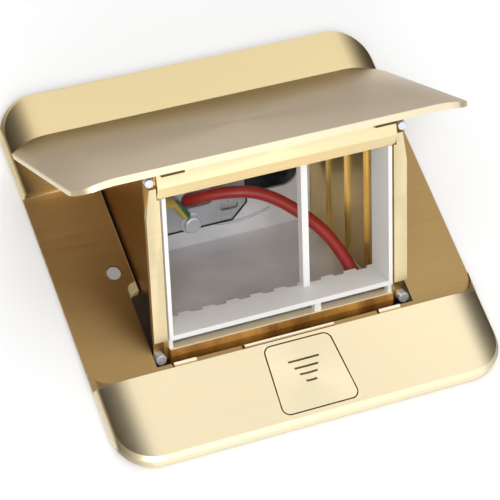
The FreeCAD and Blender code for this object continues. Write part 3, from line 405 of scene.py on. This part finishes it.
def moulded(name, color, shade, roughness, coat=0.0):
    finish = Finish(name, color, 0.0, roughness, Coat_Weight=coat)
    cast = finish.noise((40, 40, 40), 3.0)
    finish.paint(finish.mix(cast.over(0.5, 0.7), shade, color), cast * 0.12 + (roughness - 0.06))
    finish.bump(finish.noise((1400, 1400, 1400)), 0.000012, 0.3)
    return finish


tray_steel = sheet_steel("tray_steel", srgb(236, 236, 240), srgb(206, 206, 212), 0.36, 0.12)
box_steel = sheet_steel("box_steel", srgb(186, 187, 188), srgb(160, 161, 163), 0.42)
zinc = sheet_steel("zinc", srgb(226, 232, 242), srgb(196, 204, 216), 0.24, 0.55)
spring_wire = sheet_steel("spring_wire", srgb(150, 150, 152), srgb(120, 120, 124), 0.3)
white_plastic = moulded("white_plastic", srgb(238, 238, 236), srgb(228, 228, 226), 0.42)
grey_plastic = moulded("grey_plastic", srgb(196, 178, 138), srgb(180, 160, 120), 0.5)
seal_rubber = moulded("seal_rubber", srgb(34, 34, 35), srgb(26, 26, 27), 0.7)
red_sheath = moulded("red_sheath", srgb(170, 46, 38), srgb(140, 32, 28), 0.34, 0.2)
print("materials so far, the packed ones included:", len(bpy.data.materials))

# %% [markdown]
# ## The two earth finishes
# The earth lead's sheath is green along one side and yellow along the other. The colours meet on a plane
# that runs along the lead, so the signed distance from that plane is the mask. The earthing plate is
# zinc-plated, with a dark line where its lower edge, its right edge and the cut corner between them throw a
# shadow: the least of the distances from those three edges gives it.

# %% Earth finishes
seam_across, seam_height = -0.0108, 0.0162
earth_sheath = Finish("earth_sheath", srgb(60, 120, 70), 0.0, 0.36)
from_seam_across = earth_sheath.framed(TO_CRADLE, ACROSS) - seam_across
from_seam_height = earth_sheath.framed(TO_CRADLE, HEIGHT) - seam_height
green_side = (from_seam_across * 0.86 + from_seam_height * 0.51).over(-0.0001, 0.0004)
earth_sheath.paint(earth_sheath.mix(green_side, srgb(200, 172, 70), srgb(38, 104, 76)),
                   earth_sheath.noise((300, 300, 300)) * 0.12 + 0.3)

lower_edge, right_edge, corner_starts, line_width = 0.008, 0.011, 0.006, 0.0007
earth_steel = sheet_steel("earth_steel", srgb(206, 210, 214), srgb(176, 180, 186), 0.3, 0.5)
across, above = earth_steel.framed(TO_CRADLE, ACROSS), earth_steel.framed(TO_CRADLE, HEIGHT) - lower_edge
from_corner = (above - (across - corner_starts)) * 0.7071
inward = above.math("MINIMUM", right_edge - across).math("MINIMUM", from_corner)
outlined = earth_steel.mix(inward.over(line_width, 0.0003), srgb(40, 40, 44), earth_steel.color)
earth_steel.feed(earth_steel.shader, "Base Color", outlined)
print("earth finishes:", earth_sheath.material.name, earth_steel.material.name)

# %% [markdown]
# ## Handing out the finishes
# One table says which nodes wear which finish, so that a node that was forgotten shows up in the print.

# %% Finishes on their nodes
FINISHES = {
    plate_brass: ["floor_plate"],
    button_brass: ["button"],
    lid_brass: ["lid"],
    bar_brass: ["top_bar", "keeper_plates"],
    amber_brass: ["bottom_bar"],
    shaft_brass: ["hinge_shaft_left", "hinge_shaft_right"],
    trim_brass: ["side_trim_left", "side_trim_right"],
    cheek_brass: ["cradle_cheek_left", "cradle_cheek_right"],
    tray_steel: ["steel_tray"],
    earth_steel: ["earth_bracket"],
    catch_brass: ["kick_lever", "catch_magnets"],
    box_steel: ["back_box", "hinge_bracket_left", "hinge_bracket_right"],
    zinc: ["corner_screws", "lid_rivets", "plate_screws", "earth_screw", "earth_lug", "earth_stud",
           "lever_pin", "spring_collar"],
    spring_wire: ["lid_spring", "button_spring"],
    white_plastic: ["module_frame", "module_divider", "damper_gear"],
    grey_plastic: ["mounting_frame", "damper_housing", "damper_pinion"],
    seal_rubber: ["seal_gasket"],
    red_sheath: ["line_wire"],
    earth_sheath: ["earth_wire"],
}
for finish, names in FINISHES.items():
    for name in names:
        nodes[name].data.materials.clear()
        nodes[name].data.materials.append(finish.material)
bare = sorted(set(nodes) - {name for names in FINISHES.values() for name in names})
print("nodes without a finish:", bare)

# %% [markdown]
# ## Two leads
# The red line lead comes out of the tray's back, crosses the open space in one easy bow and leaves through
# the tray's floor. The earth lead, green and yellow, rises from the terminal to a lug under the lid. Both
# are held at both ends, so each is a smooth curve through the free space between its holes.


# %% Curves in the cradle
def smooth_curve(name, points, resolution):
    """A bare line through the cradle, steered by points in its frame in mm."""
    line = bpy.data.curves.new(name, "CURVE")
    line.dimensions = "3D"
    spline = line.splines.new("NURBS")
    spline.points.add(len(points) - 1)
    for knot, point in zip(spline.points, points):
        knot.co = (*(CRADLE @ (Vector(point) * MM)), 1)
    spline.order_u, spline.use_endpoint_u, spline.resolution_u = 3, True, resolution
    piece = bpy.data.objects.new(name, line)
    bpy.context.scene.collection.objects.link(piece)
    return piece


def thicken(piece, radius, roundness, finish):
    line = piece.data
    line.bevel_depth, line.bevel_resolution, line.use_fill_caps = radius, roundness, True
    line.materials.append(finish.material)


# %% Smooth leads
def lead(name, points, diameter, finish, node):
    piece = smooth_curve(name, points, 12)
    bpy.context.view_layer.update()
    path = [vertex.co.copy() for vertex in bpy.data.meshes.new_from_object(piece).vertices]
    thicken(piece, diameter / 2, 5, finish)
    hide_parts(node)
    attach(piece, "cradle")


def in_lug(below):
    """A point on the axis of the lug's barrel, this far under its mouth, in the cradle's frame in mm."""
    lug_mouth = Vector((-0.0315, -0.004, 0.0566))
    return tuple(TO_CRADLE @ LID @ (lug_mouth - Vector((0, 0, below))) / MM)


LINE_ROUTE = [(-12, 57, 14.5), (-7, 51.5, 17.5), (1, 47, 20.2), (12, 41, 20.8), (22, 31, 15),
              (28.5, 21, 7), (30.3, 12, -1.8)]
EARTH_ROUTE = [(-9.63, 48.4, 14.1), (-12.1, 47.6, 18.3), (-15.6, 43.6, 22.5), (-21, 37.5, 26),
               (-27, 30.5, 29.5), in_lug(0.009), in_lug(0)]
lead("line_lead", LINE_ROUTE, 0.0038, red_sheath, "line_wire")
lead("earth_lead", EARTH_ROUTE, 0.003, earth_sheath, "earth_wire")

# %% [markdown]
# ## Screw heads
# Each head is a short turned disc with a softened rim and a cross recess. The disc is a cone with two equal
# radii. Its front is split along the sides and ends of the cross, and the faces inside are pushed back.


# %% One screw head
def faces_at_front(bm):
    return [face for face in bm.faces if all(abs(vert.co.z) < 1e-7 for vert in face.verts)]


def only_verts(items):
    return [item for item in items if isinstance(item, bmesh.types.BMVert)]


def with_edges_and_verts(faces):
    """The faces, then their edges and their vertices, each once and always in the same order."""
    edges = dict.fromkeys(edge for face in faces for edge in face.edges)
    verts = dict.fromkeys(vert for face in faces for vert in face.verts)
    return [*faces, *edges, *verts]


def screw_head(x, z, radius, front, back):
    """One head as a mesh in the cradle's frame. It is made with its front at Z = 0 and its body above."""
    bm = bmesh.new()
    length = back - front
    bmesh.ops.create_cone(bm, cap_ends=True, segments=32, radius1=radius, radius2=radius, depth=length)
    bmesh.ops.translate(bm, verts=bm.verts, vec=(0, 0, length / 2))
    rim = list(faces_at_front(bm)[0].edges)
    bmesh.ops.bevel(bm, geom=rim, offset=radius * 0.22, segments=3, profile=0.5, affect="EDGES", material=-1)
    width, reach = radius * 0.17, radius * 0.58
    for normal in ((1, 0, 0), (0, 1, 0)):
        for place in (-reach, -width, width, reach):
            cap = with_edges_and_verts(faces_at_front(bm))
            bmesh.ops.bisect_plane(bm, geom=cap, plane_co=Vector(normal) * place, plane_no=normal)
    cross = []
    for face in faces_at_front(bm):
        middle = face.calc_center_median()
        near, far = sorted((abs(middle.x), abs(middle.y)))
        if near < width and far < reach:
            cross.append(face)
    sunk = only_verts(bmesh.ops.extrude_face_region(bm, geom=cross)["geom"])
    bmesh.ops.translate(bm, verts=sunk, vec=(0, 0, radius * 0.5))
    facing = Matrix(((1, 0, 0, x), (0, 0, 1, front), (0, 1, 0, z), (0, 0, 0, 1)))
    bmesh.ops.transform(bm, matrix=facing, verts=bm.verts)
    head = bpy.data.meshes.new("head")
    bm.to_mesh(head)
    bm.free()
    return head


# %% From a bmesh to a piece
def shown(name, bm, finish):
    mesh = bpy.data.meshes.new(name)
    bm.to_mesh(mesh)
    bm.free()
    mesh.materials.append(finish.material)
    piece = bpy.data.objects.new(name, mesh)
    bpy.context.scene.collection.objects.link(piece)
    return piece


def shown_in_cradle(name, bm, finish):
    bmesh.ops.transform(bm, matrix=CRADLE, verts=bm.verts)
    bmesh.ops.recalc_face_normals(bm, faces=bm.faces)
    return shown(name, bm, finish)


# %% Corner screws
trim_back, face_height, screw_x = 0.0016, 0.057, 0.0381
bm = bmesh.new()
for side in (-1, 1):
    # The height, radius and length of the lower and of the upper screw's head.
    for z, radius, length in ((-0.001, 0.0016, 0.0028), (face_height - 0.0025, 0.0013, 0.0019)):
        bm.from_mesh(screw_head(side * screw_x, z, radius, trim_back - length, trim_back))
screws = shown_in_cradle("corner_screw_heads", bm, zinc)
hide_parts("corner_screws")
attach(screws, "cradle")
print("screw heads:", len(screws.data.polygons), "faces")

# %% [markdown]
# ## Terminal screw
# The earthing plate's screw has the same kind of head, only larger, over a thin clamping washer.

# %% Terminal
plate_front, terminal_x, terminal_z = 0.05, -0.0078, 0.0109
washer_radius, washer_sheet, head_radius, head_length = 0.0034, 0.0008, 0.0027, 0.002
head_back = plate_front - washer_sheet
bm = bmesh.new()
bm.from_mesh(screw_head(terminal_x, terminal_z, head_radius, head_back - head_length, head_back))
washer = bmesh.ops.create_cone(bm, cap_ends=True, segments=40, radius1=washer_radius,
                               radius2=washer_radius, depth=washer_sheet)["verts"]
bmesh.ops.rotate(bm, verts=washer, cent=(0, 0, 0), matrix=Matrix.Rotation(math.radians(90), 3, "X"))
bmesh.ops.translate(bm, verts=washer, vec=(terminal_x, plate_front - washer_sheet / 2, terminal_z))
terminal = shown_in_cradle("terminal_screw", bm, zinc)
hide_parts("earth_screw")
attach(terminal, "cradle")
print("terminal:", len(terminal.data.polygons), "faces")

# %% [markdown]
# ## Pressed bead in the tray
# A shallow bead stiffens the tray's back under the earthing plate. It is a thin curve laid on the wall,
# half sunk in it, so only its rounded crest shows.

# %% Bead
BEAD_ROUTE = [(-1.5, 56.45, 6.2), (2.5, 56.45, 4.4), (7, 56.45, 3.7), (14, 56.45, 3.9), (21, 56.45, 5.6)]
bead = smooth_curve("tray_bead", BEAD_ROUTE, 10)
thicken(bead, 0.0005, 3, zinc)
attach(bead, "cradle")
print("bead points:", len(BEAD_ROUTE))

# %% [markdown]
# ## Rounded corners in the button's hole
# The gap round the button keeps its width at the corners. A small web fills each corner of the hole: a
# triangle whose long edge is subdivided and drawn onto the arc, then pulled down to a thin solid.


# %% Corner webs
def corner_web(bm, corner, before, after, radius, depth):
    """A web at one corner of an outline, between the corners before and after it."""
    sides = [(neighbour - corner).normalized() for neighbour in (before, after)]
    half = sides[0].angle(sides[1]) / 2
    centre = corner + (sides[0] + sides[1]).normalized() * (radius / math.sin(half))
    reach = radius / math.tan(half)
    ends = [bm.verts.new(corner + step) for step in (Vector(), sides[0] * reach, sides[1] * reach)]
    face = bm.faces.new(ends)
    split = bmesh.ops.subdivide_edges(bm, edges=[bm.edges.get(ends[1:])], cuts=7)
    for vert in only_verts(split["geom_inner"]):
        vert.co = centre + (vert.co - centre).normalized() * radius
    down = bmesh.ops.extrude_face_region(bm, geom=[face], use_keep_orig=True)["geom"]
    bmesh.ops.translate(bm, verts=only_verts(down), vec=(0, 0, -depth))


web_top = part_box("button")[1].z - 0.00001
hole_back, hole_front, half_at_back, half_at_front = -0.0357, -0.0574, 0.0104, 0.01205
hole = [Vector((x, y, web_top)) for x, y in ((-half_at_back, hole_back), (half_at_back, hole_back),
                                             (half_at_front, hole_front), (-half_at_front, hole_front))]
bm = bmesh.new()
for index, corner in enumerate(hole):
    corner_web(bm, corner, hole[index - 1], hole[(index + 1) % 4], radius=0.0025, depth=0.0012)
bmesh.ops.recalc_face_normals(bm, faces=bm.faces)
webs = shown("button_corner_webs", bm, plate_brass)
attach(webs, "base")
print("corner webs:", len(webs.data.polygons), "faces")

# %% [markdown]
# ## Floor
# The box is sunk in the floor, so the floor is at the gasket's underside, with a square cut-out for the box.
# A grid of one face is cut along the four sides of the square, and the face inside is deleted.

# %% Floor with its cut-out
floor_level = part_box("seal_gasket")[0].z
cut_half = 0.0508
bm = bmesh.new()
bmesh.ops.create_grid(bm, x_segments=1, y_segments=1, size=3.0)
for normal in ((1, 0, 0), (0, 1, 0)):
    for side in (-1, 1):
        bmesh.ops.bisect_plane(bm, geom=bm.verts[:] + bm.edges[:] + bm.faces[:],
                               plane_co=Vector(normal) * cut_half * side, plane_no=normal)
inside = [face for face in bm.faces if max(map(abs, face.calc_center_median())) < cut_half]
bmesh.ops.delete(bm, geom=inside, context="FACES")
bmesh.ops.translate(bm, verts=bm.verts, vec=(0, 0, floor_level))
floor_finish = Finish("floor_paint", (0.93, 0.93, 0.93), 0.0, 0.6)
floor_finish.paint(floor_finish.color, floor_finish.noise((3, 3, 3)) * 0.1 + 0.55)
floor = shown("floor", bm, floor_finish)
print("floor faces round the cut-out:", len(floor.data.polygons))

# %% [markdown]
# ## Light
# Brushed metal shows whatever surrounds it. A large key softbox stands up at the back right, where the flat
# of the plate reflects it, so the plate reads as pale brass. Two smaller boxes in front fill the cradle's
# face and reach into it. Everything else that the metal reflects is the studio, which is dark towards the
# back and bright towards the front, and which lights plain surfaces an even grey.


# %% Softboxes
def softbox(name, place, target, width, height, radiance):
    data = bpy.data.lights.new(name, "AREA")
    data.shape = "RECTANGLE"
    data.size, data.size_y, data.energy = width, height, radiance * math.pi * width * height
    lamp = bpy.data.objects.new(name, data)
    bpy.context.scene.collection.objects.link(lamp)
    away = Vector(place) - Vector(target)
    lamp.matrix_world = Matrix.Translation(place) @ away.to_track_quat("Z", "Y").to_matrix().to_4x4()
    print("%s: %.1f W" % (name, data.energy))


softbox("key", (0.62, 0.70, 1.62), (0, 0, 0.06), 1.35, 1.5, 1.06)
softbox("front_fill", (-0.55, -1.5, 0.8), (0, 0, 0.08), 1.0, 0.6, 3.5)
softbox("cradle_light", (-0.42, -0.78, 1.28), (0, 0, 0.07), 0.8, 0.8, 4.5)

# %% Studio
even_grey, dark_back, bright_front = 0.62, 0.12, 1.25
world = bpy.data.worlds.new("studio")
world.use_nodes = True
bpy.context.scene.world = world
studio = Graph(world.node_tree)
direction = studio.node("ShaderNodeTexCoord", {}, {}, "Generated")
toward_back = studio.node("ShaderNodeSeparateXYZ", {}, {"Vector": direction}, "Y")
reflected = studio.node("ShaderNodeValToRGB", {"stops": [(0.0, dark_back), (1.0, bright_front)]},
                        {"Fac": 0.25 - toward_back})
glossy = studio.node("ShaderNodeLightPath", {}, {}, "Is Glossy Ray")
seen = studio.mix(glossy, (even_grey, even_grey, even_grey), reflected)
studio.feed(world.node_tree.nodes["Background"], "Color", seen)
bpy.context.scene.view_settings.view_transform = "Standard"
print("studio: grey %.2f, reflected %.2f to %.2f" % (even_grey, dark_back, bright_front))
